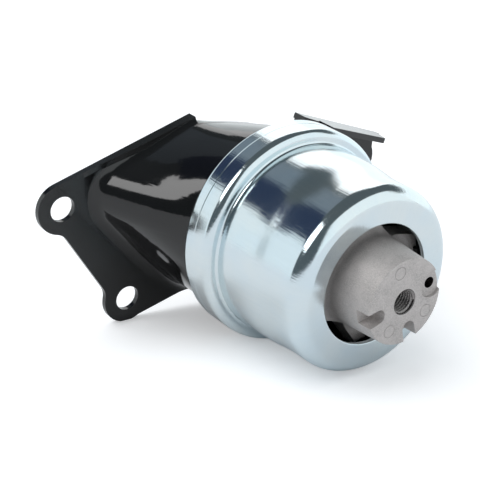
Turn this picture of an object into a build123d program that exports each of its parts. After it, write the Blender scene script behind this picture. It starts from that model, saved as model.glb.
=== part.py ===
from build123d import *
from math import atan, cos, degrees, hypot, radians, sin, sqrt, tan
import os

# Hydraulic engine mount: a die-cast core on a rubber spring in a plated can, on a drawn steel bracket.
# Origin: the can's axis where it meets the bracket's rear face. +Z runs along the axis to the core's face,
# +Y points to the bracket's roof side and +X to the side with the high flange. Millimetres.

# Bracket plate
SHEET = 3.0
TAB_HOLE_R = 6.5
LEFT_WIDE_X = -93.5
RIGHT_WIDE_X = 91.5
RIGHT_WIDE_Y = 3.6
WIDE_TAB_R = 13.15
NARROW_HOLE_X = 54.3
NARROW_HOLE_Y = -49.2
NARROW_TAB_R = 13.1
WAIST_HALF = 7.2
WAIST_FILLET = 9.0
ROOF_Y = 52.0
ROOF_DROP = 0.33
LOW_INNER_Y = 34.0
HIGH_INNER_Y = 20.0
HIGH_NECK_X = 103.4
ROOF_CORNER_X = 107.7
ROOF_CORNER_DEPTH = 4.0
CHIN_Y = -47.0
CHIN_DROP = 0.28

# Flanges turned forward along the two roof edges
LOW_FLANGE_HEIGHT = 5.6
LOW_FLANGE_INNER_X = 21.0
LOW_FLANGE_KNEE_X = 50.0
LOW_FLANGE_OUTER_X = 83.0
HIGH_FLANGE_START_X = 47.5
HIGH_FLANGE_INNER_X = 57.5
HIGH_FLANGE_OUTER_X = 101.5
HIGH_FLANGE_INNER_HEIGHT = 21.0
HIGH_FLANGE_OUTER_HEIGHT = 15.0
NOTCH_STEP_HEIGHT = 9.0
NOTCH_STEP_DEPTH = 3.0

# Turret drawn from the plate
TURRET_MAIN_IN = 5.0
TURRET_MAIN_X = -2.0
TURRET_MAIN_Y = -6.5
SHOULDER_R = 15.5
SHOULDER_X = 60.5
LOW_SHOULDER_Y = 10.0
HIGH_SHOULDER_Y = 2.5
CREST_X = -20.0
CREST_UNDER_NECK = 23.5
NECK_R = 50.0
NECK_UNDER_LIP = 1.9
FOOT_FILLET = 7.0
TRIM_MARGIN = 0.2
BLANK_WIDTH = 240.0
BLANK_HEIGHT = 200.0

# Can
CAN_WALL = 2.5
CAN_HEIGHT = 56.8
LEDGE_Z = 68.6
LEDGE_WIDTH = 6.3
LEDGE_FILLET = 1.5
BODY_TAPER = 0.3
BODY_TAPER_SHARE = 0.37
STEP_TAPER = 1.4
STEP_SHARE = 0.52
NOSE_TAPER = 2.1
NOSE_SHARE = 0.62
NOSE_FILLET = 8.0
MOUTH_R = 29.8
CLAMP_OVER_NECK = 4.8
CLAMP_FILLET = 4.0
LIP_FILLET = 2.0
LIP_INNER_FILLET = 0.5

# Core casting
CORE_STANDOUT = 19.6
CORE_FACE_R = 21.0
CORE_DRAFT = 1.2
CORE_DRAFT_TO_MOUTH = 0.6
THREAD_BORE_R = 5.2
THREAD_CHAMFER = 0.9
THREAD_DEPTH = 30.0
LOCATOR_R = 2.7
LOCATOR_DEPTH = 9.0
LOCATOR_OUT = 16.4
LOCATOR_TURN = 20.0
POCKET_R = 6.5
POCKET_DEPTH = 1.8
NOTCH_WIDTH = 7.0
NOTCH_DEPTH = 7.7
SIDE_NOTCH_TIP = 11.8
SIDE_NOTCH_TURN = 196.0
LOW_NOTCH_TIP = 11.2
LOW_NOTCH_TURN = -72.0
WING_TURN = 149.0
WING_HALF_WIDTH = 22.6
WING_FLARE = 20.0
WING_SIDE_PLAY = 3.9
WING_TOP_DROP = 8.9
WING_THICK = 11.0
WING_CHAMFER = 4.0
WING_BLEND = 5.0
CONE_TOP_R = 20.0
CONE_TIP_R = 11.0
CONE_HEIGHT = 21.5

# Rubber spring and its support ring
RING_WALL = 2.0
RING_HEIGHT = 21.9
RING_PLAY = 0.5
RING_FLANGE = 3.1
SPRING_NECK_DROP = 2.5
SPRING_NECK_R = 23.0
SPRING_SKIN = 2.5
SPRING_CEILING_IN = 13.5
SPRING_CEILING_SHARE = 0.6
SPRING_SKIRT_IN = 5.5
SPRING_SKIRT_RISE = 1.5

# Rebound buffers
BUFFER_THICK = 3.0
BUFFER_LAP = 2.0
BUFFER_SWEEP = 96.0

# Clamped stack, from the turret's flange up to the support ring's flange
STACK_PLAY = 0.6
CUP_WALL = 1.5
CUP_PLAY = 0.5
CUP_KNEE_DROP = 6.9
CUP_TAPER = 8.0
CUP_DEPTH = 34.9
CUP_FILLET = 6.0
CUP_VENT_R = 4.0
BEAD_THICK = 3.0
BEAD_RING_WIDTH = 2.0
BEAD_RING_THICK = 1.0
BELLOWS_WALL = 1.5
BELLOWS_PLAY = 0.6
BELLOWS_ROLL_DROP = 18.9
BELLOWS_ROLL_IN = 6.5
BELLOWS_ROLL_FILLET = 3.5
BELLOWS_DOME_IN = 8.5
BELLOWS_DOME_DROP = 8.9
LOWER_PLATE_RIM = 1.5
UPPER_PLATE_RIM = 1.6
PLATE_PLAY = 0.9
PLATE_FLOOR = 2.0
CHANNEL_OUTER_WALL = 2.0
CHANNEL_INNER_WALL = 8.0
CHANNEL_WIDTH = 6.0
CHANNEL_HEIGHT = 6.0
CHANNEL_SWEEP = 300.0
PORT_TURN = 6.0
PORT_EDGE = 0.5
DECOUPLER_THICK = 2.6
DECOUPLER_PLAY = 0.5
GRILLE_HOLE_R = 2.2
GRILLE_INNER_COUNT = 6
GRILLE_OUTER_IN = 8.0
GRILLE_RING_STEP = 9.0
GRILLE_OUTER_COUNT = 12

# Sizes that follow from the ones above: the bracket's edges
roof_turn = degrees(atan(ROOF_DROP))
left_wide = (LEFT_WIDE_X, ROOF_Y - ROOF_DROP * abs(LEFT_WIDE_X) - WIDE_TAB_R * hypot(1, ROOF_DROP))
right_wide = (RIGHT_WIDE_X, RIGHT_WIDE_Y)

# The clamped stack's heights, from the can's ledge down
ring_flange_top_z = LEDGE_Z - CAN_WALL
upper_plate_top_z = ring_flange_top_z - RING_FLANGE
plate_joint_z = upper_plate_top_z - UPPER_PLATE_RIM
bead_top_z = plate_joint_z - LOWER_PLATE_RIM
cup_flange_top_z = bead_top_z - BEAD_THICK
turret_flange_top_z = cup_flange_top_z - CUP_WALL
lip_top_z = turret_flange_top_z - SHEET
lip_z = lip_top_z - CAN_WALL
neck_z = lip_z - NECK_UNDER_LIP
plate_body_z = plate_joint_z - CHANNEL_HEIGHT - PLATE_FLOOR
decoupler_floor_z = plate_joint_z - DECOUPLER_THICK - 2 * DECOUPLER_PLAY
cup_knee_z = cup_flange_top_z - CUP_KNEE_DROP
cup_floor_z = cup_flange_top_z - CUP_DEPTH
bellows_roll_z = cup_flange_top_z - BELLOWS_ROLL_DROP
bellows_dome_z = cup_flange_top_z - BELLOWS_DOME_DROP

# The can's heights, from its ledge up
mouth_z = LEDGE_Z + CAN_HEIGHT
body_top_z = LEDGE_Z + CAN_HEIGHT * BODY_TAPER_SHARE
step_z = LEDGE_Z + CAN_HEIGHT * STEP_SHARE
nose_z = LEDGE_Z + CAN_HEIGHT * NOSE_SHARE

# The radii, from the turret's neck out to the can and in to the fluid chambers
clamp_r = NECK_R + CLAMP_OVER_NECK
clamp_fillet = min(CLAMP_FILLET, 0.9 * (LEDGE_WIDTH - LEDGE_FILLET))
clamp_inner_r = clamp_r - CAN_WALL
clamp_inner_fillet = clamp_fillet - CAN_WALL
stack_r = clamp_inner_r - STACK_PLAY
body_r = clamp_r - LEDGE_WIDTH
body_top_r = body_r - BODY_TAPER
step_r = body_r - STEP_TAPER
nose_r = body_r - NOSE_TAPER
ring_outer_r = body_r - CAN_WALL - RING_PLAY
ring_inner_r = ring_outer_r - RING_WALL
cup_r = NECK_R - SHEET - CUP_PLAY
cup_floor_r = cup_r - CUP_TAPER
bellows_inner_r = cup_r - CUP_WALL - BELLOWS_PLAY - BELLOWS_WALL
bellows_roll_r = cup_floor_r - BELLOWS_ROLL_IN
bellows_dome_r = bellows_roll_r - BELLOWS_DOME_IN
bead_ring_r = (bellows_inner_r + stack_r) / 2
plate_body_r = bellows_inner_r - PLATE_PLAY
channel_r = plate_body_r - CHANNEL_OUTER_WALL - CHANNEL_WIDTH / 2
decoupler_r = channel_r - CHANNEL_WIDTH / 2 - CHANNEL_INNER_WALL
grille_outer_r = decoupler_r - GRILLE_OUTER_IN
grille_inner_r = grille_outer_r - GRILLE_RING_STEP

# The core, its wings and the rubber on them
core_face_z = mouth_z + CORE_STANDOUT
core_waist_r = CORE_FACE_R + CORE_DRAFT
core_waist_z = mouth_z + CORE_DRAFT_TO_MOUTH
wing_top_z = mouth_z - WING_TOP_DROP
wing_under_z = wing_top_z - WING_THICK
wing_reach = nose_r - CAN_WALL - BUFFER_THICK - WING_SIDE_PLAY
chamfer_r = wing_reach - WING_CHAMFER
wing_blend = min(WING_BLEND, 0.9 * (core_waist_z - wing_top_z), 0.9 * (chamfer_r - core_waist_r))
chamfer_z = wing_top_z - WING_CHAMFER
cone_tip_z = wing_under_z - CONE_HEIGHT
buffer_shoulder = BUFFER_THICK * tan(radians(22.5))
buffer_inner_r = chamfer_r - BUFFER_LAP
ring_top_z = ring_flange_top_z + RING_HEIGHT
spring_neck_z = wing_under_z - SPRING_NECK_DROP
spring_skirt_z = ring_flange_top_z + SPRING_SKIRT_RISE
spring_floor_z = cone_tip_z - SPRING_SKIN
spring_ceiling_z = spring_skirt_z + (spring_floor_z - spring_skirt_z) * SPRING_CEILING_SHARE


def polar(radius, turn):
    return (radius * cos(radians(turn)), radius * sin(radians(turn)))


def roof_line(x):
    return ROOF_Y - ROOF_DROP * abs(x)


def chin_line(x):
    return CHIN_Y - CHIN_DROP * abs(x)


def cone_r(z):
    """The core's radius in the rubber at a height."""
    return CONE_TIP_R + (CONE_TOP_R - CONE_TIP_R) * (z - cone_tip_z) / (wing_under_z - cone_tip_z)


def cup_inner_r(z):
    """The bottom cup's inner radius at a height on its cone."""
    return cup_floor_r + (cup_r - cup_floor_r) * (z - cup_floor_z) / (cup_knee_z - cup_floor_z) - CUP_WALL


def is_arc_of(edge, radius):
    return edge.geom_type == GeomType.CIRCLE and abs(edge.radius - radius) < 1e-3


def turret_outline(inset):
    """The turret's foot: a round main form hulled with a shoulder on each side and a crest at the roof."""
    with Locations((TURRET_MAIN_X, TURRET_MAIN_Y)):
        Circle(NECK_R - TURRET_MAIN_IN - inset)
    with Locations((-SHOULDER_X, LOW_SHOULDER_Y), (SHOULDER_X, HIGH_SHOULDER_Y), (CREST_X, NECK_R - CREST_UNDER_NECK)):
        Circle(SHOULDER_R - inset)
    make_hull()


def turret_form(inset, base_z):
    """The turret's wall, drawn from its foot outline to its round neck."""
    with BuildPart() as form:
        with BuildSketch(Plane.XY.offset(base_z)):
            turret_outline(inset)
        with BuildSketch(Plane.XY.offset(neck_z)):
            Circle(NECK_R - inset)
        loft()
    return form.part


def grille_holes(mode=Mode.SUBTRACT):
    """The through holes over the decoupler: two rings of them."""
    with PolarLocations(grille_inner_r, GRILLE_INNER_COUNT):
        Circle(GRILLE_HOLE_R, mode=mode)
    with PolarLocations(grille_outer_r, GRILLE_OUTER_COUNT):
        Circle(GRILLE_HOLE_R, mode=mode)


def channel_port(turn, mode=Mode.SUBTRACT):
    """One end's opening of the annular channel."""
    with Locations(polar(channel_r, turn)):
        Circle(CHANNEL_WIDTH / 2 - PORT_EDGE, mode=mode)


def roof_start(side):
    """Where a side's roof edge starts beside the turret, and how far its plate runs in there."""
    return (-LOW_FLANGE_INNER_X, LOW_INNER_Y) if side < 0 else (HIGH_FLANGE_START_X, HIGH_INNER_Y)


def roof_foot(side, tab):
    """The roof edge's point nearest to a tab's centre."""
    reach = (roof_line(tab[0]) - tab[1]) / hypot(1, ROOF_DROP)
    return (tab[0] + reach * side * sin(radians(roof_turn)), tab[1] + reach * cos(radians(roof_turn)))


def waist_offset(side, wide_tab, narrow_tab):
    """The way along a side's waist, and the step from the tabs' centres out to its edge."""
    along = (Vector(*narrow_tab) - Vector(*wide_tab)).normalized()
    return along, Vector(-along.Y, along.X) * side * WAIST_HALF


def waist_corners(side, wide_tab, narrow_tab):
    """Where the straight waist runs into the rounds of the two tabs."""
    along, step = waist_offset(side, wide_tab, narrow_tab)
    wide_reach = sqrt(WIDE_TAB_R**2 - WAIST_HALF**2)
    narrow_reach = sqrt(NARROW_TAB_R**2 - WAIST_HALF**2)
    return [
        Vector(*wide_tab) + step + along * wide_reach,
        Vector(*narrow_tab) + step - along * narrow_reach,
    ]


def roof_plane(side):
    """The upright plane on a roof edge, facing out, with its x running to the left."""
    turn = radians(roof_turn)
    return Plane(
        origin=(0, ROOF_Y, 0),
        x_dir=(-cos(turn), side * sin(turn), 0),
        z_dir=(side * sin(turn), cos(turn), 0),
    )


def roof_flange(side, outline):
    """A roof edge's flange in its own plane, from an outline given as distance out and height."""
    stretch = hypot(1, ROOF_DROP)
    with BuildSketch(roof_plane(side)) as flange:
        with BuildLine():
            Polyline([(-side * x * stretch, z) for x, z in outline], close=True)
        make_face()
    return flange.sketch


def skin(inset, top_z, foot_fillet):
    """The sheet's outer or inner side: a wide plate with the turret on it and the drawn foot radius."""
    with BuildPart() as form:
        with BuildSketch(Plane.XY.offset(top_z)):
            Rectangle(BLANK_WIDTH, BLANK_HEIGHT)
        extrude(amount=-SHEET)
        add(turret_form(inset, top_z))
        plate_face = form.faces().filter_by_position(Axis.Z, top_z, top_z)[0]
        fillet(plate_face.inner_wires()[0].edges(), foot_fillet)
    return form.part


# The stamping's trimmed outline: two tabs a side with a straight waist between them, the roof edges and the
# chin. Where the turret's own wall meets the edge, the wall itself is the outline.
with BuildPart() as trimmed:
    with BuildSketch() as plate_outline:
        corners = []
        for side, wide_tab in ((-1, left_wide), (1, right_wide)):
            narrow_tab = (side * NARROW_HOLE_X, NARROW_HOLE_Y)
            along, step = waist_offset(side, wide_tab, narrow_tab)
            inner_x, inner_y = roof_start(side)
            with Locations(wide_tab):
                Circle(WIDE_TAB_R)
            with Locations(narrow_tab):
                Circle(NARROW_TAB_R)
            with BuildLine():
                Polyline(
                    (0, chin_line(0)),
                    (narrow_tab[0], chin_line(narrow_tab[0])),
                    Vector(*narrow_tab) + step,
                    Vector(*wide_tab) + step,
                    roof_foot(side, wide_tab),
                    (inner_x, roof_line(inner_x)),
                    (inner_x, inner_y),
                    (0, inner_y),
                    close=True,
                )
            make_face()
            corners += waist_corners(side, wide_tab, narrow_tab)
        with BuildLine():
            Polyline(
                (right_wide[0], roof_line(right_wide[0])),
                (ROOF_CORNER_X, roof_line(ROOF_CORNER_X)),
                (HIGH_NECK_X, roof_line(ROOF_CORNER_X) - ROOF_CORNER_DEPTH),
                (HIGH_NECK_X, right_wide[1]),
                right_wide,
                close=True,
            )
        make_face()
        fillet([plate_outline.vertices().sort_by_distance(c)[0] for c in corners], WAIST_FILLET)
    extrude(amount=neck_z)
    with BuildSketch():
        turret_outline(-TRIM_MARGIN)
    extrude(amount=SHEET)
    add(turret_form(-TRIM_MARGIN, SHEET))

# Bracket: one deep-drawn stamping, its turret ending in the collar that the can is crimped to.
with BuildPart() as bracket:
    add(skin(0, SHEET, FOOT_FILLET))
    add(skin(SHEET, 0, FOOT_FILLET + SHEET), mode=Mode.SUBTRACT)
    add(trimmed.part, mode=Mode.INTERSECT)
    with BuildSketch(Plane.XY.offset(neck_z)):
        Circle(NECK_R)
        Circle(NECK_R - SHEET, mode=Mode.SUBTRACT)
    extrude(amount=turret_flange_top_z - neck_z)
    with BuildSketch(Plane.XY.offset(lip_top_z)):
        Circle(stack_r)
        Circle(NECK_R - SHEET, mode=Mode.SUBTRACT)
    extrude(amount=SHEET)
    low_flange = roof_flange(-1, [
        (LOW_FLANGE_INNER_X, 0),
        (LOW_FLANGE_INNER_X, LOW_FLANGE_HEIGHT),
        (LOW_FLANGE_KNEE_X, LOW_FLANGE_HEIGHT),
        (LOW_FLANGE_OUTER_X, SHEET),
        (LOW_FLANGE_OUTER_X, 0),
    ])
    extrude(low_flange, amount=-SHEET)
    high_flange = roof_flange(1, [
        (HIGH_FLANGE_START_X, 0),
        (HIGH_FLANGE_START_X, NOTCH_STEP_HEIGHT),
        (HIGH_FLANGE_INNER_X - NOTCH_STEP_DEPTH, NOTCH_STEP_HEIGHT + NOTCH_STEP_DEPTH),
        (HIGH_FLANGE_INNER_X, NOTCH_STEP_HEIGHT),
        (HIGH_FLANGE_INNER_X, HIGH_FLANGE_INNER_HEIGHT),
        (HIGH_FLANGE_OUTER_X, HIGH_FLANGE_OUTER_HEIGHT),
        (ROOF_CORNER_X, 0),
    ])
    extrude(high_flange, amount=-SHEET)
    with BuildSketch():
        with Locations(left_wide, right_wide):
            Circle(TAB_HOLE_R)
        with Locations((-NARROW_HOLE_X, NARROW_HOLE_Y), (NARROW_HOLE_X, NARROW_HOLE_Y)):
            Circle(TAB_HOLE_R)
    extrude(amount=SHEET, mode=Mode.SUBTRACT)
bracket.part.label = "bracket"

# Can: a drawn housing of even wall, its clamp ring's lip crimped in under the turret's collar.
with BuildPart() as can:
    with BuildSketch(Plane.XZ):
        with BuildLine():
            FilletPolyline(
                [
                    (MOUTH_R, mouth_z),
                    (nose_r, mouth_z),
                    (nose_r, nose_z),
                    (step_r, step_z),
                    (body_top_r, body_top_z),
                    (body_r, LEDGE_Z),
                    (clamp_r, LEDGE_Z),
                    (clamp_r, lip_z),
                    (NECK_R + STACK_PLAY, lip_z),
                    (NECK_R + STACK_PLAY, lip_top_z),
                    (clamp_inner_r, lip_top_z),
                    (clamp_inner_r, ring_flange_top_z),
                    (body_r - CAN_WALL, ring_flange_top_z),
                    (body_top_r - CAN_WALL, body_top_z),
                    (step_r - CAN_WALL, step_z),
                    (nose_r - CAN_WALL, nose_z),
                    (nose_r - CAN_WALL, mouth_z - CAN_WALL),
                    (MOUTH_R, mouth_z - CAN_WALL),
                ],
                radius=[
                    0, NOSE_FILLET, 0, 0, 0, LEDGE_FILLET, clamp_fillet, LIP_FILLET, 0,
                    0, LIP_INNER_FILLET, clamp_inner_fillet, LEDGE_FILLET, 0, 0, 0,
                    NOSE_FILLET - CAN_WALL, 0,
                ],
                close=True,
            )
        make_face()
    revolve(axis=Axis.Z)
can.part.label = "can"

# Core: a die casting with drafted sides, two rebound wings under the can's mouth and a cone in the rubber.
with BuildPart() as core:
    with BuildSketch(Plane.XZ):
        with BuildLine():
            FilletPolyline(
                [
                    (0, cone_tip_z),
                    (CONE_TIP_R, cone_tip_z),
                    (CONE_TOP_R, wing_under_z),
                    (wing_reach, wing_under_z),
                    (wing_reach, chamfer_z),
                    (chamfer_r, wing_top_z),
                    (core_waist_r, wing_top_z),
                    (core_waist_r, core_waist_z),
                    (CORE_FACE_R, core_face_z),
                    (0, core_face_z),
                ],
                radius=[0, SPRING_SKIN, 0, 0, 0, 0, wing_blend, 0, 0, 0],
                close=True,
            )
        make_face()
    revolve(axis=Axis.Z)
    wing_spread = WING_HALF_WIDTH + wing_reach * tan(radians(WING_FLARE))
    with BuildSketch(Plane(origin=(0, 0, cone_tip_z), x_dir=polar(1, WING_TURN), z_dir=(0, 0, 1))):
        with BuildLine():
            Polyline(
                (0, WING_HALF_WIDTH),
                (wing_reach, wing_spread),
                (wing_reach, -wing_spread),
                (0, -WING_HALF_WIDTH),
                (-wing_reach, -wing_spread),
                (-wing_reach, wing_spread),
                close=True,
            )
        make_face()
    extrude(amount=core_face_z - cone_tip_z, mode=Mode.INTERSECT)
    with BuildSketch(Plane.XY.offset(core_face_z)):
        Circle(THREAD_BORE_R)
    extrude(amount=-THREAD_DEPTH, mode=Mode.SUBTRACT)
    face_edges = core.edges().filter_by_position(Axis.Z, core_face_z, core_face_z)
    chamfer(face_edges.filter_by(lambda e: is_arc_of(e, THREAD_BORE_R)), THREAD_CHAMFER)
    locator = polar(LOCATOR_OUT, LOCATOR_TURN)
    with BuildSketch(Plane.XY.offset(core_face_z)):
        with Locations(locator):
            Circle(POCKET_R)
    extrude(amount=-POCKET_DEPTH, mode=Mode.SUBTRACT)
    with BuildSketch(Plane.XY.offset(core_face_z - POCKET_DEPTH)):
        with Locations(locator):
            Circle(LOCATOR_R)
    extrude(amount=-LOCATOR_DEPTH, mode=Mode.SUBTRACT)
    for tip, turn in ((SIDE_NOTCH_TIP, SIDE_NOTCH_TURN), (LOW_NOTCH_TIP, LOW_NOTCH_TURN)):
        notch_plane = Plane(origin=(0, 0, core_face_z), x_dir=polar(1, turn), z_dir=(0, 0, 1))
        root_x = tip + NOTCH_WIDTH / 2
        with BuildSketch(notch_plane):
            with Locations((root_x, 0)):
                Circle(NOTCH_WIDTH / 2)
                Rectangle(core_waist_r, NOTCH_WIDTH, align=(Align.MIN, Align.CENTER))
        extrude(amount=-NOTCH_DEPTH, mode=Mode.SUBTRACT)
core.part.label = "core"

# Main spring: rubber from the core's cone down to the support ring, hollowed under the core.
with BuildPart() as main_spring:
    with BuildSketch(Plane.XZ):
        with BuildLine():
            FilletPolyline(
                [
                    (0, spring_floor_z),
                    (CONE_TIP_R + SPRING_SKIN, spring_floor_z),
                    (ring_inner_r - SPRING_CEILING_IN, spring_ceiling_z),
                    (ring_inner_r - SPRING_SKIRT_IN, spring_skirt_z),
                    (ring_inner_r, spring_skirt_z),
                    (ring_inner_r, ring_top_z),
                    (SPRING_NECK_R, spring_neck_z),
                    (cone_r(spring_neck_z), spring_neck_z),
                    (CONE_TIP_R, cone_tip_z),
                    (0, cone_tip_z),
                ],
                radius=[0, SPRING_SKIN, 2 * SPRING_SKIN, SPRING_SKIN, 0, 0, SPRING_SKIN / 2, 0, SPRING_SKIN, 0],
                close=True,
            )
        make_face()
    revolve(axis=Axis.Z)
main_spring.part.label = "main_spring"

# Support ring: the steel foot of the rubber, its flange clamped against the can's ledge.
with BuildPart() as support_ring:
    with BuildSketch(Plane.XZ):
        with BuildLine():
            FilletPolyline(
                [
                    (ring_inner_r, upper_plate_top_z),
                    (stack_r, upper_plate_top_z),
                    (stack_r, ring_flange_top_z),
                    (ring_outer_r, ring_flange_top_z),
                    (ring_outer_r, ring_top_z),
                    (ring_inner_r, ring_top_z),
                ],
                radius=[RING_WALL, 0, clamp_inner_fillet, 0, 0, 0],
                close=True,
            )
        make_face()
    revolve(axis=Axis.Z)
support_ring.part.label = "support_ring"

# Rebound buffers: a rubber cap on each wing's outer end, short of the can's nose.
buffers = []
for number, turn in ((1, WING_TURN), (2, WING_TURN + 180)):
    with BuildPart() as buffer:
        start = turn - BUFFER_SWEEP / 2
        side_plane = Plane(origin=(0, 0, 0), x_dir=polar(1, start), z_dir=polar(1, start - 90))
        with BuildSketch(side_plane):
            with BuildLine():
                FilletPolyline(
                    [
                        (buffer_inner_r, wing_top_z),
                        (buffer_inner_r, wing_top_z + BUFFER_THICK),
                        (chamfer_r + buffer_shoulder, wing_top_z + BUFFER_THICK),
                        (wing_reach + BUFFER_THICK, chamfer_z + buffer_shoulder),
                        (wing_reach + BUFFER_THICK, wing_under_z),
                        (wing_reach, wing_under_z),
                        (wing_reach, chamfer_z),
                        (chamfer_r, wing_top_z),
                    ],
                    radius=0,
                    close=True,
                )
            make_face()
        revolve(axis=Axis.Z, revolution_arc=BUFFER_SWEEP)
    buffer.part.label = f"rebound_buffer_{number}"
    buffers.append(buffer)

# Upper channel plate: it closes the channel and the decoupler's chamber.
with BuildPart() as upper_channel_plate:
    with BuildSketch(Plane.XY.offset(plate_joint_z)):
        Circle(stack_r)
        grille_holes()
        channel_port(PORT_TURN)
    extrude(amount=UPPER_PLATE_RIM)
upper_channel_plate.part.label = "upper_channel_plate"

# Lower channel plate: the annular channel, and the decoupler's chamber over the lower grille.
with BuildPart() as lower_channel_plate:
    with BuildSketch(Plane.XZ):
        with BuildLine():
            FilletPolyline(
                [
                    (0, decoupler_floor_z - PLATE_FLOOR),
                    (decoupler_r, decoupler_floor_z - PLATE_FLOOR),
                    (decoupler_r, plate_body_z),
                    (plate_body_r, plate_body_z),
                    (plate_body_r, bead_top_z),
                    (stack_r, bead_top_z),
                    (stack_r, plate_joint_z),
                    (decoupler_r + DECOUPLER_PLAY, plate_joint_z),
                    (decoupler_r + DECOUPLER_PLAY, decoupler_floor_z),
                    (0, decoupler_floor_z),
                ],
                radius=0,
                close=True,
            )
        make_face()
    revolve(axis=Axis.Z)
    with BuildSketch(Plane.XZ):
        with Locations((channel_r, plate_joint_z)):
            Rectangle(CHANNEL_WIDTH, CHANNEL_HEIGHT, align=(Align.CENTER, Align.MAX))
    revolve(axis=Axis.Z, revolution_arc=CHANNEL_SWEEP, mode=Mode.SUBTRACT)
    with BuildSketch(Plane.XY.offset(plate_body_z)):
        Circle(GRILLE_HOLE_R)
        grille_holes(Mode.ADD)
        channel_port(CHANNEL_SWEEP - PORT_TURN, Mode.ADD)
    extrude(amount=plate_joint_z - plate_body_z, mode=Mode.SUBTRACT)
lower_channel_plate.part.label = "lower_channel_plate"

# Decoupler: a loose rubber disc between the two grilles.
with BuildPart() as decoupler:
    with BuildSketch(Plane.XY.offset(decoupler_floor_z + DECOUPLER_PLAY)):
        Circle(decoupler_r)
    extrude(amount=DECOUPLER_THICK)
decoupler.part.label = "decoupler"

# Bellows ring: steel, moulded into the bellows' bead.
with BuildPart() as bellows_ring:
    with BuildSketch(Plane.XZ):
        with Locations((bead_ring_r, (cup_flange_top_z + bead_top_z) / 2)):
            Rectangle(BEAD_RING_WIDTH, BEAD_RING_THICK)
    revolve(axis=Axis.Z)
bellows_ring.part.label = "bellows_ring"

# Bellows: a thin rolled diaphragm hung from its clamped bead.
with BuildPart() as bellows:
    with BuildSketch(Plane.XZ):
        with BuildLine():
            FilletPolyline(
                [
                    (0, bellows_dome_z),
                    (bellows_dome_r, bellows_dome_z),
                    (bellows_roll_r, bellows_roll_z),
                    (cup_inner_r(bellows_roll_z) - BELLOWS_PLAY, bellows_roll_z),
                    (cup_inner_r(cup_knee_z) - BELLOWS_PLAY, cup_knee_z),
                    (cup_inner_r(cup_knee_z) - BELLOWS_PLAY, cup_flange_top_z),
                    (stack_r, cup_flange_top_z),
                    (stack_r, bead_top_z),
                    (bellows_inner_r, bead_top_z),
                    (bellows_inner_r, cup_knee_z),
                    (cup_inner_r(bellows_roll_z) - BELLOWS_PLAY - BELLOWS_WALL, bellows_roll_z + BELLOWS_WALL),
                    (bellows_roll_r + BELLOWS_WALL / 2, bellows_roll_z + BELLOWS_WALL),
                    (bellows_dome_r + BELLOWS_WALL / 2, bellows_dome_z + BELLOWS_WALL),
                    (0, bellows_dome_z + BELLOWS_WALL),
                ],
                radius=[
                    0, BELLOWS_ROLL_FILLET, BELLOWS_ROLL_FILLET, BELLOWS_ROLL_FILLET, 0, 0, 0, 0, 0, 0,
                    BELLOWS_ROLL_FILLET - BELLOWS_WALL, BELLOWS_ROLL_FILLET - BELLOWS_WALL,
                    BELLOWS_ROLL_FILLET, 0,
                ],
                close=True,
            )
        make_face()
    revolve(axis=Axis.Z)
    add(bellows_ring.part, mode=Mode.SUBTRACT)
bellows.part.label = "bellows"

# Bottom cup: a thin steel guard round the bellows, vented in its floor.
with BuildPart() as bottom_cup:
    with BuildSketch(Plane.XZ):
        with BuildLine():
            FilletPolyline(
                [
                    (CUP_VENT_R, cup_floor_z),
                    (cup_floor_r, cup_floor_z),
                    (cup_r, cup_knee_z),
                    (cup_r, turret_flange_top_z),
                    (stack_r, turret_flange_top_z),
                    (stack_r, cup_flange_top_z),
                    (cup_r - CUP_WALL, cup_flange_top_z),
                    (cup_r - CUP_WALL, cup_knee_z),
                    (cup_floor_r - CUP_WALL, cup_floor_z + CUP_WALL),
                    (CUP_VENT_R, cup_floor_z + CUP_WALL),
                ],
                radius=[0, CUP_FILLET, 0, 0, 0, 0, CUP_WALL / 2, 0, CUP_FILLET - CUP_WALL, 0],
                close=True,
            )
        make_face()
    revolve(axis=Axis.Z)
bottom_cup.part.label = "bottom_cup"

os.makedirs("parts", exist_ok=True)
pieces = [
    bracket,
    can,
    core,
    main_spring,
    support_ring,
    *buffers,
    upper_channel_plate,
    lower_channel_plate,
    decoupler,
    bellows_ring,
    bellows,
    bottom_cup,
]
for piece in pieces:
    export_step(piece.part, f"parts/{piece.part.label}.step")
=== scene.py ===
import bpy
import bmesh
from math import atan2, cos, pi, radians, sin, tan
from mathutils import Matrix, Vector
from mathutils.noise import noise


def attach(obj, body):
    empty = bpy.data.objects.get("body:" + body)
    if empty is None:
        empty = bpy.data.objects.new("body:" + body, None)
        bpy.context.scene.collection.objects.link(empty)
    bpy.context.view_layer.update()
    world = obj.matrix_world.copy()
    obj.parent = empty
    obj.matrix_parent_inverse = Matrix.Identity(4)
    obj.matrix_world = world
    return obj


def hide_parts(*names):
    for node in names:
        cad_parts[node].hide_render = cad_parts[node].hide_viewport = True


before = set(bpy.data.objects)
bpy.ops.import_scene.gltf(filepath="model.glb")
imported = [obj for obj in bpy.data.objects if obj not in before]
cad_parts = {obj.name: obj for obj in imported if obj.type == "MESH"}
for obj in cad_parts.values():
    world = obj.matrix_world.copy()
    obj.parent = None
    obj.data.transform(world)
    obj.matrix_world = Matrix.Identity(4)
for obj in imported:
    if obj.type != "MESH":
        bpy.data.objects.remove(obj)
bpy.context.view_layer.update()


# Bracket
# One deep-drawn steel stamping: a plate with four bolt tabs, two roof flanges and a turret that ends in the
# collar the can is crimped to. It is dipped and stoved in a thick, glossy black paint.
MM = 0.001
PAINT_COLOUR = (0.004, 0.004, 0.0042, 1)
PAINT_HAZE = (0.008, 0.008, 0.0085, 1)


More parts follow.
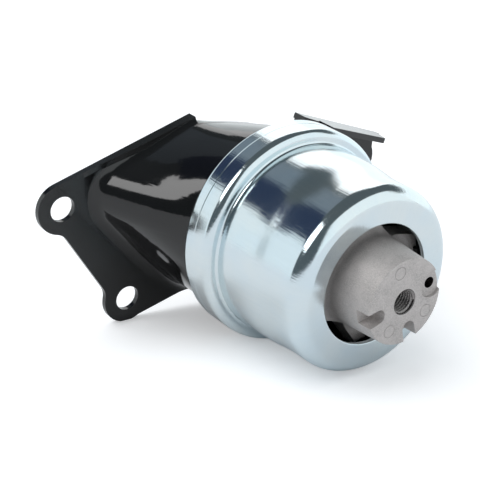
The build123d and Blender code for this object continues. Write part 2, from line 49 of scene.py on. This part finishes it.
class Finish:
    """A node material for one of the mount's finishes, on the piece's own coordinates in millimetres."""

    def __init__(self, name):
        self.material = bpy.data.materials.new(name)
        self.material.use_nodes = True
        self.tree = self.material.node_tree
        self.shader = self.tree.nodes["Principled BSDF"]
        self.place = self.tree.nodes.new("ShaderNodeTexCoord").outputs["Object"]

    def node(self, kind, inputs=(), **settings):
        made = self.tree.nodes.new("ShaderNode" + kind)
        for key, value in settings.items():
            setattr(made, key, value)
        for key, value in dict(inputs).items():
            if isinstance(value, bpy.types.NodeSocket):
                self.tree.links.new(value, made.inputs[key])
            else:
                made.inputs[key].default_value = value
        return made

    def grain(self, size_mm, detail=3.0, roughness=0.5, stretch=(1, 1, 1)):
        """Noise with features about that many millimetres across, drawn out along an axis by stretch."""
        scale = [1 / (size_mm * MM * s) for s in stretch]
        place = self.node("Mapping", {"Vector": self.place, "Scale": scale})
        inputs = {"Vector": place.outputs["Vector"], "Scale": 1.0, "Detail": detail, "Roughness": roughness}
        return self.node("TexNoise", inputs).outputs["Fac"]

    def range(self, value, low, high, to_low, to_high):
        inputs = {"Value": value, "From Min": low, "From Max": high, "To Min": to_low, "To Max": to_high}
        return self.node("MapRange", inputs).outputs["Result"]

    def mix(self, share, first, second):
        """A colour between two others."""
        inputs = {"Factor": share, 6: first, 7: second}
        return self.node("Mix", inputs, data_type="RGBA").outputs[2]

    def math(self, operation, first, second=0.0):
        return self.node("Math", {0: first, 1: second}, operation=operation).outputs["Value"]

    def reach(self, x, y):
        """How far a point is from the axis, from its two coordinates across it."""
        return self.math("SQRT", self.math("ADD", self.math("MULTIPLY", x, x), self.math("MULTIPLY", y, y)))

    def bump(self, height, depth_mm, strength=1.0, normal=None):
        inputs = {"Height": height, "Distance": depth_mm * MM, "Strength": strength}
        if normal is not None:
            inputs["Normal"] = normal
        return self.node("Bump", inputs).outputs["Normal"]

    def soft_edges(self, radius_mm):
        return self.node("Bevel", {"Radius": radius_mm * MM}, samples=4).outputs["Normal"]

    def set(self, **inputs):
        for key, value in inputs.items():
            socket = self.shader.inputs[key.replace("_", " ")]
            if isinstance(value, bpy.types.NodeSocket):
                self.tree.links.new(value, socket)
            else:
                socket.default_value = value
        return self.material


def paint_finish():
    paint = Finish("black_paint_gloss")
    clouds = paint.grain(40, detail=2)
    peel = paint.grain(2.2, detail=1)
    specks = paint.grain(0.5, detail=1)
    colour = paint.mix(paint.range(clouds, 0.35, 0.75, 0.0, 1.0), PAINT_COLOUR, PAINT_HAZE)
    normal = paint.bump(peel, 0.02, normal=paint.soft_edges(0.5))
    normal = paint.bump(specks, 0.004, normal=normal)
    roughness = paint.range(clouds, 0.3, 0.7, 0.06, 0.14)
    return paint.set(
        Base_Color=colour, Roughness=roughness, Normal=normal, Coat_Weight=0.15, Coat_Roughness=0.04,
    )


def dress(node, material):
    """A CAD node keeps its mesh and takes a finish."""
    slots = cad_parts[node].material_slots
    for number in range(len(slots)):
        slots[number].material = material


black_paint = paint_finish()
dress("bracket", black_paint)


# Bottom cup
# A thin drawn steel cup under the bellows, vented in its floor and clamped with the stack. It is painted a
# duller black than the bracket.
def cup_finish():
    paint = Finish("cup_paint_satin")
    clouds = paint.grain(12, detail=3)
    peel = paint.grain(1.2, detail=2)
    colour = paint.mix(clouds, (0.016, 0.016, 0.017, 1), (0.03, 0.03, 0.03, 1))
    roughness = paint.range(clouds, 0.3, 0.7, 0.35, 0.5)
    return paint.set(Base_Color=colour, Roughness=roughness, Normal=paint.bump(peel, 0.015))


dress("bottom_cup", cup_finish())


# Bellows, decoupler and main spring
# Moulded natural rubber, matt black with a faint bloom. The spring is bonded to the core's cone and to the
# support ring; the bellows has a thin rolled wall and a clamped bead.
def rubber_finish():
    rubber = Finish("rubber_moulded")
    bloom = rubber.grain(9, detail=4)
    skin = rubber.grain(0.6, detail=3)
    bloomed = rubber.range(bloom, 0.4, 0.7, 0, 1)
    colour = rubber.mix(bloomed, (0.010, 0.010, 0.011, 1), (0.022, 0.021, 0.022, 1))
    roughness = rubber.range(bloom, 0.3, 0.7, 0.55, 0.75)
    return rubber.set(Base_Color=colour, Roughness=roughness, Normal=rubber.bump(skin, 0.03))


rubber = rubber_finish()
for node in ("bellows", "decoupler", "main_spring", "rebound_buffer_1", "rebound_buffer_2"):
    dress(node, rubber)


# Bellows ring and support ring
# Bare pressed steel, oiled: the ring in the bellows' bead and the spring's flanged foot.
def steel_finish():
    steel = Finish("raw_steel_oiled")
    stain = steel.grain(8, detail=4)
    lay = steel.grain(0.3, detail=2, stretch=(6, 6, 1))
    colour = steel.mix(stain, (0.24, 0.235, 0.23, 1), (0.36, 0.35, 0.34, 1))
    roughness = steel.range(stain, 0.3, 0.7, 0.3, 0.45)
    return steel.set(Base_Color=colour, Metallic=1.0, Roughness=roughness, Normal=steel.bump(lay, 0.01))


steel = steel_finish()
dress("bellows_ring", steel)
dress("support_ring", steel)


# Channel plates
# Two machined aluminium die castings that hold the annular channel and the decoupler between their grilles.
def plate_finish():
    plate = Finish("plate_aluminium_cast")
    cloud = plate.grain(6, detail=4)
    tool = plate.grain(0.25, detail=2, stretch=(1, 12, 1))
    colour = plate.mix(cloud, (0.5, 0.5, 0.49, 1), (0.62, 0.62, 0.61, 1))
    roughness = plate.range(cloud, 0.3, 0.7, 0.32, 0.45)
    return plate.set(Base_Color=colour, Metallic=1.0, Roughness=roughness, Normal=plate.bump(tool, 0.008))


plate_aluminium = plate_finish()
dress("upper_channel_plate", plate_aluminium)
dress("lower_channel_plate", plate_aluminium)


# Core
# A die-cast aluminium core, left as it came from the die: grainy sides with a little draft, a smoother face
# with two open notches, a locating hole in its pocket, ejector marks and a tapped M12 x 1.5 hole.
CORE_STEPS = 160
ROUND_SEGMENTS = 6
WIDE_ROUNDING, BEND_ROUNDING, BEND_SEGMENTS = 5.0, 20.0, 6
FACE_R, FACE_Z = 21.0, 145.0
WAIST_R, WAIST_Z = 22.2, 126.0
WING_R, WING_TOP_Z, WING_UNDER_Z, WING_CHAMFER, WING_BLEND = 37.0, 116.5, 105.5, 4.0, 5.0
WING_TURN, WING_HALF_WIDTH, WING_FLARE = 149.0, 22.6, 20.0
CONE_TOP_R, CONE_TIP_R, CONE_TIP_Z = 20.0, 11.0, 84.0
BORE_R, BORE_MOUTH_R, BORE_DEPTH = 6.02, 6.4, 30.0
CREST_R, PITCH, PITCH_STEPS, THREAD_TURNS = 5.2, 1.5, 48, 18
THREAD_TOP_Z, THREAD_BED, CREST_HALF, ROOT_HALF = FACE_Z - 0.75, 0.06, 0.12, 0.68
LOCATOR_R, LOCATOR_DEPTH, LOCATOR_OUT, LOCATOR_TURN = 2.7, 10.8, 16.4, radians(20.0)
LOCATOR_X, LOCATOR_Y = LOCATOR_OUT * cos(LOCATOR_TURN), LOCATOR_OUT * sin(LOCATOR_TURN)
POCKET_R, POCKET_DEPTH = 6.5, 1.8
NOTCH_WIDTH, NOTCH_DEPTH = 7.0, 7.7
NOTCHES = ((11.8, 196.0), (11.2, -72.0))
EJECTOR_R, EJECTOR_DEPTH = 3.1, 0.22
EJECTOR_MARKS = ((-5.1, 15.1), (13.7, -7.4), (-7.2, -13.1))
CUT_MARGIN = 0.05
TOOL_MARGIN = 1.0
WING_CUT_REACH = 40.0


def core_finish():
    cast = Finish("cast_aluminium_matt")
    cloud = cast.grain(7, detail=4)
    sand = cast.grain(0.55, detail=3, roughness=0.7)
    fine = cast.grain(0.2, detail=1)
    colour = cast.mix(cast.range(sand, 0.25, 0.75, 0, 1), (0.30, 0.285, 0.277, 1), (0.64, 0.605, 0.59, 1))
    colour = cast.mix(cast.range(cloud, 0.35, 0.7, 0, 0.5), colour, (0.60, 0.565, 0.55, 1))
    roughness = cast.range(sand, 0.3, 0.7, 0.48, 0.62)
    # Inside the bore and the locating hole the metal is cut: smoother and fully metallic, so bright where
    # it turns to light, and its colour is darkened there as painted shade in the holes.
    place = cast.node("SeparateXYZ", {"Vector": cast.place})
    inside = None
    for x, y, radius in ((0, 0, BORE_MOUTH_R), (LOCATOR_X, LOCATOR_Y, LOCATOR_R + CUT_MARGIN)):
        across = cast.math("SUBTRACT", place.outputs["X"], x * MM)
        along = cast.math("SUBTRACT", place.outputs["Y"], y * MM)
        hole = cast.math("LESS_THAN", cast.reach(across, along), radius * MM)
        inside = hole if inside is None else cast.math("MAXIMUM", inside, hole)
    below_face = cast.math("LESS_THAN", place.outputs["Z"], (FACE_Z - CUT_MARGIN) * MM)
    cut_and_painted_shade = cast.math("MULTIPLY", inside, below_face)
    # Painted shade: the colour in the bore and the locating hole is darkened.
    colour = cast.mix(cut_and_painted_shade, colour, (0.24, 0.225, 0.22, 1))
    roughness = cast.range(cut_and_painted_shade, 0, 1, roughness, 0.22)
    metal = cast.range(cut_and_painted_shade, 0, 1, 0.55, 1.0)
    normal = cast.bump(sand, 0.16, normal=cast.soft_edges(0.3))
    normal = cast.bump(fine, 0.02, normal=normal)
    return cast.set(Base_Color=colour, Metallic=metal, Roughness=roughness, Normal=normal)


def chain(bm, corners):
    """A closed profile in the XZ plane from (radius, height, rounding) corners, with the roundings made."""
    verts = [bm.verts.new((r, 0, z)) for r, z, rounding in corners]
    for number, vert in enumerate(verts):
        bm.edges.new((vert, verts[number - 1]))
    for number, (vert, (r, z, rounding)) in enumerate(zip(verts, corners)):
        if rounding == 0:
            continue
        before = (Vector(corners[number - 1][:2]) - Vector((r, z))).normalized()
        after = (Vector(corners[(number + 1) % len(corners)][:2]) - Vector((r, z))).normalized()
        turn = pi - before.angle(after)
        segments = round(ROUND_SEGMENTS * turn / (pi / 2) * (2 if rounding > WIDE_ROUNDING else 1))
        fewest = BEND_SEGMENTS if rounding > BEND_ROUNDING else 2
        bmesh.ops.bevel(
            bm, geom=[vert], offset=rounding * tan(turn / 2), offset_type="OFFSET", affect="VERTICES",
            segments=max(fewest, segments), profile=0.5, material=-1,
        )


def turn_on_axis(bm, steps):
    """Spins all there is round the can's axis and closes the result."""
    bmesh.ops.spin(
        bm, geom=bm.verts[:] + bm.edges[:], cent=(0, 0, 0), axis=(0, 0, 1), dvec=(0, 0, 0),
        angle=2 * pi, steps=steps, use_merge=True,
    )
    bmesh.ops.remove_doubles(bm, verts=bm.verts, dist=0.001)


def shade(bm, sharp_deg=32):
    bmesh.ops.recalc_face_normals(bm, faces=bm.faces)
    for face in bm.faces:
        face.smooth = True
    for edge in bm.edges:
        edge.smooth = edge.calc_face_angle(0) < radians(sharp_deg)


def add_piece(bm, name, material, slot, *nodes):
    """Makes the finished millimetre mesh an object of the mount that stands for its CAD nodes."""
    bmesh.ops.scale(bm, vec=(MM, MM, MM), verts=bm.verts)
    mesh = bpy.data.meshes.new(name)
    bm.to_mesh(mesh)
    bm.free()
    mesh.materials.append(material)
    piece = bpy.data.objects.new(name, mesh)
    bpy.context.scene.collection.objects.link(piece)
    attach(piece, "root")
    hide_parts(*nodes)


def body_of(bm, name):
    """A passing object that holds a finished mesh for a Boolean step."""
    bmesh.ops.recalc_face_normals(bm, faces=bm.faces)
    mesh = bpy.data.meshes.new(name)
    bm.to_mesh(mesh)
    bm.free()
    made = bpy.data.objects.new(name, mesh)
    bpy.context.scene.collection.objects.link(made)
    return made


def carve(body, tool, operation="DIFFERENCE"):
    """One Boolean step on the body; the tool is used up."""
    step = body.modifiers.new("carve", "BOOLEAN")
    step.operation = operation
    step.solver = "EXACT"
    step.object = tool
    sight = bpy.context.evaluated_depsgraph_get()
    body.data = bpy.data.meshes.new_from_object(body.evaluated_get(sight))
    body.modifiers.clear()
    bpy.data.objects.remove(tool)


def prism(outline, low, high, turn=0.0):
    """A straight-sided solid on an outline, from one height to another, turned round the axis."""
    bm = bmesh.new()
    face = bm.faces.new([bm.verts.new((x, y, low)) for x, y in outline])
    raised = bmesh.ops.extrude_face_region(bm, geom=[face])["geom"]
    raised = [part for part in raised if isinstance(part, bmesh.types.BMVert)]
    bmesh.ops.translate(bm, vec=(0, 0, high - low), verts=raised)
    bmesh.ops.rotate(bm, cent=(0, 0, 0), matrix=Matrix.Rotation(radians(turn), 3, "Z"), verts=bm.verts)
    return bm


def drill(corners, steps, x=0.0, y=0.0):
    """A turned tool set on a place of the core's face."""
    bm = bmesh.new()
    chain(bm, corners)
    turn_on_axis(bm, steps)
    bmesh.ops.translate(bm, vec=(x, y, 0), verts=bm.verts)
    return bm


cast_aluminium = core_finish()
core_body = body_of(drill([
    (0, CONE_TIP_Z, 0),
    (CONE_TIP_R, CONE_TIP_Z, 2.5),
    (CONE_TOP_R, WING_UNDER_Z, 0),
    (WING_R, WING_UNDER_Z, 0.5),
    (WING_R, WING_TOP_Z - WING_CHAMFER, 0.5),
    (WING_R - WING_CHAMFER, WING_TOP_Z, 0.5),
    (WAIST_R, WING_TOP_Z, WING_BLEND),
    (WAIST_R, WAIST_Z, 0),
    (FACE_R, FACE_Z, 0.35),
    (0, FACE_Z, 0),
], CORE_STEPS), "core_body")
wing_spread = WING_HALF_WIDTH + WING_CUT_REACH * tan(radians(WING_FLARE))
wing_form = prism([
    (0, WING_HALF_WIDTH), (-WING_CUT_REACH, wing_spread), (-WING_CUT_REACH, -wing_spread),
    (0, -WING_HALF_WIDTH), (WING_CUT_REACH, -wing_spread), (WING_CUT_REACH, wing_spread),
], CONE_TIP_Z - TOOL_MARGIN, FACE_Z + TOOL_MARGIN, WING_TURN)
carve(core_body, body_of(wing_form, "wing_form"), "INTERSECT")
for tip, turn in NOTCHES:
    half = NOTCH_WIDTH / 2
    round_end = [(tip + half - half * cos(radians(a)), half * sin(radians(a))) for a in range(-90, 91, 15)]
    outline = round_end + [(30, half + 0.6), (30, -half - 0.6)]
    carve(core_body, body_of(prism(outline, FACE_Z - NOTCH_DEPTH, FACE_Z + TOOL_MARGIN, turn), "notch"))
carve(core_body, body_of(drill([
    (0, FACE_Z - POCKET_DEPTH, 0),
    (POCKET_R, FACE_Z - POCKET_DEPTH, 0.5),
    (POCKET_R + 0.2, FACE_Z + TOOL_MARGIN, 0),
    (0, FACE_Z + TOOL_MARGIN, 0),
], 64, LOCATOR_X, LOCATOR_Y), "pocket"))
carve(core_body, body_of(drill([
    (0, FACE_Z - LOCATOR_DEPTH - 1.5, 0),
    (LOCATOR_R, FACE_Z - LOCATOR_DEPTH, 0),
    (LOCATOR_R, FACE_Z + TOOL_MARGIN, 0),
    (0, FACE_Z + TOOL_MARGIN, 0),
], 40, LOCATOR_X, LOCATOR_Y), "locating_hole"))
carve(core_body, body_of(drill([
    (0, FACE_Z - BORE_DEPTH, 0),
    (CREST_R, FACE_Z - BORE_DEPTH, 0),
    (BORE_R, FACE_Z - BORE_DEPTH + 2, 0),
    (BORE_R, FACE_Z - 0.45, 0),
    (BORE_MOUTH_R, FACE_Z, 0),
    (BORE_MOUTH_R + 0.8, FACE_Z + TOOL_MARGIN, 0),
    (0, FACE_Z + TOOL_MARGIN, 0),
], 96), "bore"))
for x, y in EJECTOR_MARKS:
    carve(core_body, body_of(drill([
        (EJECTOR_R - 0.16, FACE_Z - EJECTOR_DEPTH, 0),
        (EJECTOR_R + 0.02, FACE_Z - EJECTOR_DEPTH, 0),
        (EJECTOR_R + 0.16, FACE_Z + TOOL_MARGIN, 0),
        (EJECTOR_R - 0.2, FACE_Z + TOOL_MARGIN, 0),
    ], 48, x, y), "ejector_mark"))

core_mesh = bmesh.new()
core_mesh.from_mesh(core_body.data)
bpy.data.objects.remove(core_body)
shade(core_mesh)
# The thread is a helix whose root runs in the bore's wall.
thread = bmesh.new()
start = thread.faces.new([thread.verts.new((r, 0, THREAD_TOP_Z + z)) for r, z in (
    (BORE_R + THREAD_BED, ROOT_HALF),
    (CREST_R, CREST_HALF),
    (CREST_R, -CREST_HALF),
    (BORE_R + THREAD_BED, -ROOT_HALF),
)])
bmesh.ops.spin(
    thread, geom=[start], cent=(0, 0, 0), axis=(0, 0, 1), dvec=(0, 0, -PITCH / PITCH_STEPS),
    angle=2 * pi * THREAD_TURNS, steps=PITCH_STEPS * THREAD_TURNS,
)
shade(thread, sharp_deg=40)
thread_data = bpy.data.meshes.new("thread")
thread.to_mesh(thread_data)
thread.free()
core_mesh.from_mesh(thread_data)
add_piece(core_mesh, "core_casting", cast_aluminium, "cast_aluminium", "core")


# Can
# The housing: a deep-drawn steel shell, zinc plated to a pale bluish bright finish, with its clamp ring
# rolled in under the bracket's collar. The drawing left fine lines along its wall.
CAN_STEPS = 192
CAN_WALL = 2.5
MOUTH_R, MOUTH_Z = 29.8, 125.4
NOSE_R, NOSE_Z, NOSE_FILLET = 46.4, 103.8, 8.0
STEP_R, STEP_Z = 47.1, 98.1
BODY_TOP_R, BODY_TOP_Z = 48.2, 89.6
WALL_BEND = 80.0
BODY_R, LEDGE_Z, LEDGE_FILLET = 48.5, 68.6, 1.5
CLAMP_R, CLAMP_FILLET = 54.8, 4.0
SEAM_Z, SEAM_DEPTH = 57.0, 0.25
LIP_INNER_R, LIP_Z, LIP_TOP_Z, LIP_FILLET = 50.6, 49.9, 52.4, 2.0
LIP_WAVE, LIP_WAVE_BELOW, LIP_WAVE_WITHIN, LIP_WAVE_RISE = 0.35, LIP_TOP_Z - 0.3, CLAMP_R - 0.8, 1.5
HOLD_DISTANCE = 0.4


def zinc_finish():
    zinc = Finish("zinc_plate_bright")
    place = zinc.node("SeparateXYZ", {"Vector": zinc.place})
    x, y, z = (place.outputs[axis] for axis in "XYZ")
    # Drawing lines: noise on the direction round the axis, long along it.
    radius = zinc.reach(x, y)
    wall_place = zinc.node("CombineXYZ", {
        "X": zinc.math("DIVIDE", x, radius), "Y": zinc.math("DIVIDE", y, radius), "Z": z,
    }).outputs["Vector"]
    lines_place = zinc.node("Mapping", {"Vector": wall_place, "Scale": (70, 70, 40)}).outputs["Vector"]
    lines = zinc.node("TexNoise", {
        "Vector": lines_place, "Scale": 1.0, "Detail": 3.0, "Roughness": 0.6,
    }).outputs["Fac"]
    mottle = zinc.grain(1.4, detail=3)
    tint = zinc.grain(26, detail=3)
    colour = zinc.mix(zinc.range(tint, 0.35, 0.65, 0, 1), (0.66, 0.76, 0.81, 1), (0.72, 0.78, 0.79, 1))
    colour = zinc.mix(zinc.range(lines, 0.3, 0.75, 0, 0.35), colour, (0.59, 0.69, 0.74, 1))
    roughness = zinc.range(mottle, 0.3, 0.7, 0.10, 0.15)
    normal = zinc.bump(lines, 0.045)
    normal = zinc.bump(mottle, 0.0015, normal=normal)
    return zinc.set(Base_Color=colour, Metallic=1.0, Roughness=roughness, Normal=normal)


def hold_walls(bm, distance):
    """Adds a point near both ends of each long side, so its wall shades true up to its roundings."""
    for side in bm.edges[:]:
        length = side.calc_length()
        if length < 4 * distance:
            continue
        first, last = side.verts
        near_first = bmesh.utils.edge_split(side, first, distance / length)[1]
        rest = bm.edges.get((near_first, last))
        bmesh.utils.edge_split(rest, last, distance / (length - distance))


zinc_plate = zinc_finish()
can_mesh = bmesh.new()
chain(can_mesh, [
    (MOUTH_R, MOUTH_Z, 0.5),
    (NOSE_R, MOUTH_Z, NOSE_FILLET),
    (NOSE_R, NOSE_Z, WALL_BEND),
    (STEP_R, STEP_Z, 0),
    (BODY_TOP_R, BODY_TOP_Z, WALL_BEND),
    (BODY_R, LEDGE_Z, LEDGE_FILLET),
    (CLAMP_R, LEDGE_Z, CLAMP_FILLET),
    (CLAMP_R, SEAM_Z + SEAM_DEPTH, 0),
    (CLAMP_R - SEAM_DEPTH, SEAM_Z, 0),
    (CLAMP_R, SEAM_Z - SEAM_DEPTH, 0),
    (CLAMP_R, LIP_Z, LIP_FILLET),
    (LIP_INNER_R, LIP_Z, 0.6),
    (LIP_INNER_R, LIP_TOP_Z, 0),
    (CLAMP_R - CAN_WALL, LIP_TOP_Z, 0.5),
    (CLAMP_R - CAN_WALL, LEDGE_Z - CAN_WALL, CLAMP_FILLET - CAN_WALL),
    (BODY_R - CAN_WALL, LEDGE_Z - CAN_WALL, LEDGE_FILLET),
    (BODY_TOP_R - CAN_WALL, BODY_TOP_Z, 0),
    (STEP_R - CAN_WALL, STEP_Z, 0),
    (NOSE_R - CAN_WALL, NOSE_Z, 0),
    (NOSE_R - CAN_WALL, MOUTH_Z - CAN_WALL, NOSE_FILLET - CAN_WALL),
    (MOUTH_R, MOUTH_Z - CAN_WALL, 0.5),
])
hold_walls(can_mesh, HOLD_DISTANCE)
turn_on_axis(can_mesh, CAN_STEPS)
# The rolled lip is never quite even round its edge.
for vert in can_mesh.verts:
    r, z = vert.co.xy.length, vert.co.z
    if z < LIP_WAVE_BELOW and r < LIP_WAVE_WITHIN:
        turn = atan2(vert.co.y, vert.co.x)
        wave = noise(Vector((3 * cos(turn), 3 * sin(turn), 2.0)))
        vert.co.z += LIP_WAVE * wave * min(1, (LIP_WAVE_WITHIN - r) / LIP_WAVE_RISE)
shade(can_mesh)
add_piece(can_mesh, "can_shell", zinc_plate, "zinc_plate", "can")


# Studio
# A white sweep that the mount lies on, with soft boxes, pale walls and dark cards round it and a dark room
# between them. The plated can mirrors them all, so their places are those its reflections call for.
WHITE = (1, 1, 1, 1)
PALE = (0.92, 0.98, 1.0, 1)
NIGHT = (0.028, 0.044, 0.088, 1)
DUSK = (0.21, 0.25, 0.29, 1)
SWEEP_COLOUR = (0.90, 0.915, 0.93, 1)
SWEEP_GLOW = 0.30
FLOOR_SLOPE = 0.12
FLOOR_DROP = -0.0623
FLOOR_REACH = 4.0
floor_up = Vector((0, 1, -FLOOR_SLOPE)).normalized()
to_camera = Vector((-0.39186, 0.26300, 0.52315))
ahead = (to_camera - to_camera.dot(floor_up) * floor_up).normalized()
aside = floor_up.cross(ahead)

sweep = Finish("studio_sweep")
seen = sweep.node("LightPath").outputs["Is Camera Ray"]
sweep.set(
    Base_Color=SWEEP_COLOUR, Roughness=0.9, Specular_IOR_Level=0.1,
    Emission_Color=WHITE, Emission_Strength=sweep.math("MULTIPLY", seen, SWEEP_GLOW),
)
gone = sweep.node("BsdfTransparent")
behind = sweep.node("NewGeometry").outputs["Backfacing"]
either = sweep.node("MixShader", {0: behind, 1: sweep.shader.outputs[0], 2: gone.outputs[0]})
sweep.tree.links.new(either.outputs[0], sweep.tree.nodes["Material Output"].inputs["Surface"])

floor_mesh = bmesh.new()
bmesh.ops.create_circle(floor_mesh, cap_ends=True, radius=FLOOR_REACH, segments=64)
bmesh.ops.rotate(
    floor_mesh, cent=(0, 0, 0), verts=floor_mesh.verts,
    matrix=Vector((0, 0, 1)).rotation_difference(floor_up).to_matrix(),
)
bmesh.ops.translate(floor_mesh, vec=(0, FLOOR_DROP, 0), verts=floor_mesh.verts)
floor_data = bpy.data.meshes.new("studio_floor")
floor_mesh.to_mesh(floor_data)
floor_mesh.free()
floor_data.materials.append(sweep.material)
floor = bpy.data.objects.new("studio_floor", floor_data)
bpy.context.scene.collection.objects.link(floor)


def toward(azimuth, elevation):
    """A direction from the mount: azimuth from the camera's side of the room, elevation above the floor."""
    a, e = radians(azimuth), radians(elevation)
    return (ahead * cos(a) + aside * sin(a)) * cos(e) + floor_up * sin(e)


def card(name, azimuth, elevation, width, height, colour, strength, roll=0, distance=1.6):
    """A soft box or a dark card that faces the mount and shows only where it is mirrored."""
    mesh = bmesh.new()
    bmesh.ops.create_grid(mesh, x_segments=1, y_segments=1, size=0.5)
    bmesh.ops.scale(mesh, vec=(width, height, 1), verts=mesh.verts)
    bmesh.ops.rotate(mesh, cent=(0, 0, 0), matrix=Matrix.Rotation(radians(roll), 3, "Z"), verts=mesh.verts)
    direction = toward(azimuth, elevation)
    across = floor_up.cross(direction).normalized()
    turn = Matrix((across, direction.cross(across), direction)).transposed()
    bmesh.ops.rotate(mesh, cent=(0, 0, 0), matrix=turn, verts=mesh.verts)
    bmesh.ops.translate(mesh, vec=direction * distance, verts=mesh.verts)
    data = bpy.data.meshes.new(name)
    mesh.to_mesh(data)
    mesh.free()
    material = bpy.data.materials.new(name)
    material.use_nodes = True
    tree = material.node_tree
    tree.nodes.clear()
    glow = tree.nodes.new("ShaderNodeEmission")
    glow.inputs["Color"].default_value = colour
    glow.inputs["Strength"].default_value = strength
    out = tree.nodes.new("ShaderNodeOutputMaterial")
    tree.links.new(glow.outputs[0], out.inputs["Surface"])
    data.materials.append(material)
    made = bpy.data.objects.new(name, data)
    bpy.context.scene.collection.objects.link(made)
    made.visible_camera = False
    made.visible_shadow = False
    made.visible_diffuse = False


card("soft_box_left", -58, 43, 0.95, 0.75, WHITE, 4.5, roll=-10)
card("soft_box_back", 173, 38, 0.9, 0.85, WHITE, 1.6)
card("wall_left_back", -155, 14, 1.4, 1.0, PALE, 1.3)
card("wall_left", -106, 14, 1.55, 1.0, PALE, 1.05)
card("wall_right", 55, 18, 2.6, 2.2, PALE, 1.15)
card("wall_right_back", 137, 11, 3.0, 1.0, PALE, 1.3)
card("dark_card_left", -110, 45, 1.2, 0.62, NIGHT, 1.0, distance=1.5)
card("dark_card_back", -138, 51, 0.7, 0.62, DUSK, 1.0, distance=1.52)

KEY_STRENGTH = 1.5
KEY_SPREAD = radians(70)
KEY_AZIMUTH, KEY_ELEVATION = -75, 60
key_data = bpy.data.lights.new("key_light", "SUN")
key_data.energy = KEY_STRENGTH
key_data.angle = KEY_SPREAD
key = bpy.data.objects.new("key_light", key_data)
key.rotation_euler = toward(KEY_AZIMUTH, KEY_ELEVATION).to_track_quat("Z", "Y").to_euler()
key.visible_glossy = False
bpy.context.scene.collection.objects.link(key)

world = bpy.data.worlds.new("studio_white")
bpy.context.scene.world = world
world.use_nodes = True
sky = world.node_tree
sky.nodes.clear()
ray = sky.nodes.new("ShaderNodeLightPath")


def backdrop(colour, strength):
    made = sky.nodes.new("ShaderNodeBackground")
    made.inputs["Color"].default_value = colour
    made.inputs["Strength"].default_value = strength
    return made.outputs[0]


def either_of(share, first, second):
    made = sky.nodes.new("ShaderNodeMixShader")
    for number, socket in enumerate((share, first, second)):
        sky.links.new(socket, made.inputs[number])
    return made.outputs[0]


# The room is dark where it is mirrored, its scattered light is even and pale, and white is seen behind.
dark_room = backdrop((0.10, 0.12, 0.13, 1), 1.0)
room_light = backdrop((0.94, 0.97, 1.0, 1), 0.62)
room = either_of(ray.outputs["Is Diffuse Ray"], dark_room, room_light)
sky_out = sky.nodes.new("ShaderNodeOutputWorld")
surroundings = either_of(ray.outputs["Is Camera Ray"], room, backdrop(WHITE, 1.0))
sky.links.new(surroundings, sky_out.inputs["Surface"])
bpy.context.scene.view_settings.view_transform = "Standard"

CAMERA_LENS, CAMERA_SENSOR = 101.2, 36
CAMERA_RIGHT = (0.8057, 0.0776, 0.5873)
CAMERA_UP = (0.1827, 0.9106, -0.3709)
CAMERA_BACK = (-0.5635, 0.4061, 0.7194)
camera_data = bpy.data.cameras.new("camera")
camera_data.lens = CAMERA_LENS
camera_data.sensor_width = CAMERA_SENSOR
camera = bpy.data.objects.new("camera", camera_data)
camera_axes = Matrix((CAMERA_RIGHT, CAMERA_UP, CAMERA_BACK)).transposed().to_4x4()
camera.matrix_world = Matrix.Translation(to_camera) @ camera_axes
bpy.context.scene.collection.objects.link(camera)
bpy.context.scene.camera = camera
